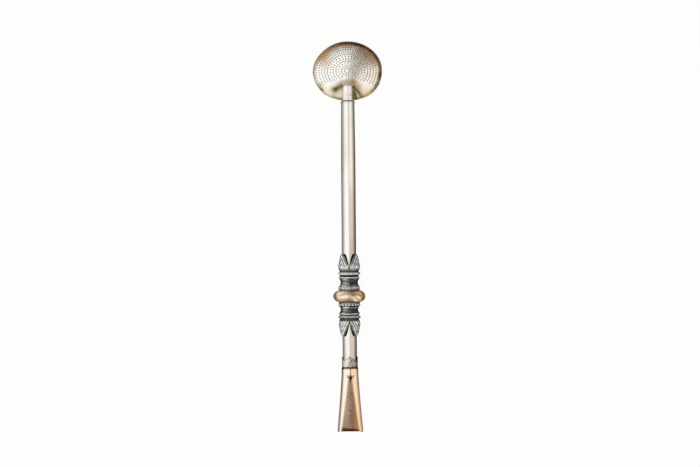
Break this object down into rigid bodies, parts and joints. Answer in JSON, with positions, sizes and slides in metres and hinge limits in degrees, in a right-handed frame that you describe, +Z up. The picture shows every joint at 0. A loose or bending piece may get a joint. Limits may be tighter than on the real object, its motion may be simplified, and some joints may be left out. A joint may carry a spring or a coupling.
{
  "type": "drinking straw with strainer",
  "caption": "Bombilla for mate: silver tube with a flat perforated strainer, a leaf and bead ornament round a turning gold ring, and a flattened gold mouthpiece.",
  "frame": {"origin": "on the table below the middle of the bombilla, level with the lowest point of the gold ring", "axes": "+Y along the stem towards the strainer, +Z up out of the front face, +X to the right"},
  "size_m": [0.0351, 0.1952, 0.0164],
  "materials": {
    "strainer_silver": "worn silver with a warm tarnish",
    "stem_silver": "polished silver with fine scratches",
    "ornament_silver": "chased silver with dark recesses",
    "gold": "worn rose gold"
  },
  "bodies": {
    "stem": {"stem_tube": "stem_silver", "strainer_side_leaf_collar": "ornament_silver", "strainer_side_small_beads": "ornament_silver", "strainer_side_wire_ring": "ornament_silver", "strainer_side_waist": "ornament_silver", "strainer_side_large_beads": "ornament_silver", "strainer_side_seat": "ornament_silver", "mouth_side_seat": "ornament_silver", "mouth_side_large_beads": "ornament_silver", "mouth_side_waist": "ornament_silver", "mouth_side_wire_ring": "ornament_silver", "mouth_side_small_beads": "ornament_silver", "mouth_side_leaf_collar": "ornament_silver", "ferrule": "stem_silver"},
    "strainer": {"strainer_front_shell": "strainer_silver", "strainer_back_shell": "strainer_silver", "strainer_rim": "strainer_silver", "strainer_spigot": "stem_silver"},
    "gold_ring": {"gold_ring_strainer_half": "gold", "gold_ring_mouth_half": "gold"},
    "mouthpiece": {"mouthpiece_shell": "gold", "mouthpiece_socket": "gold"}
  },
  "joints": [
    {"name": "strainer_pull", "type": "slide", "parent": "stem", "child": "strainer", "axis": [0, 1, 0], "range_m": [0, 0.045]},
    {"name": "mouthpiece_pull", "type": "slide", "parent": "stem", "child": "mouthpiece", "axis": [0, -1, 0], "range_m": [0, 0.03]},
    {"name": "ring_spin", "type": "hinge", "parent": "stem", "child": "gold_ring", "pos_m": [0, -0.02985, 0.0082], "axis": [0, 1, 0], "continuous": true}
  ]
}
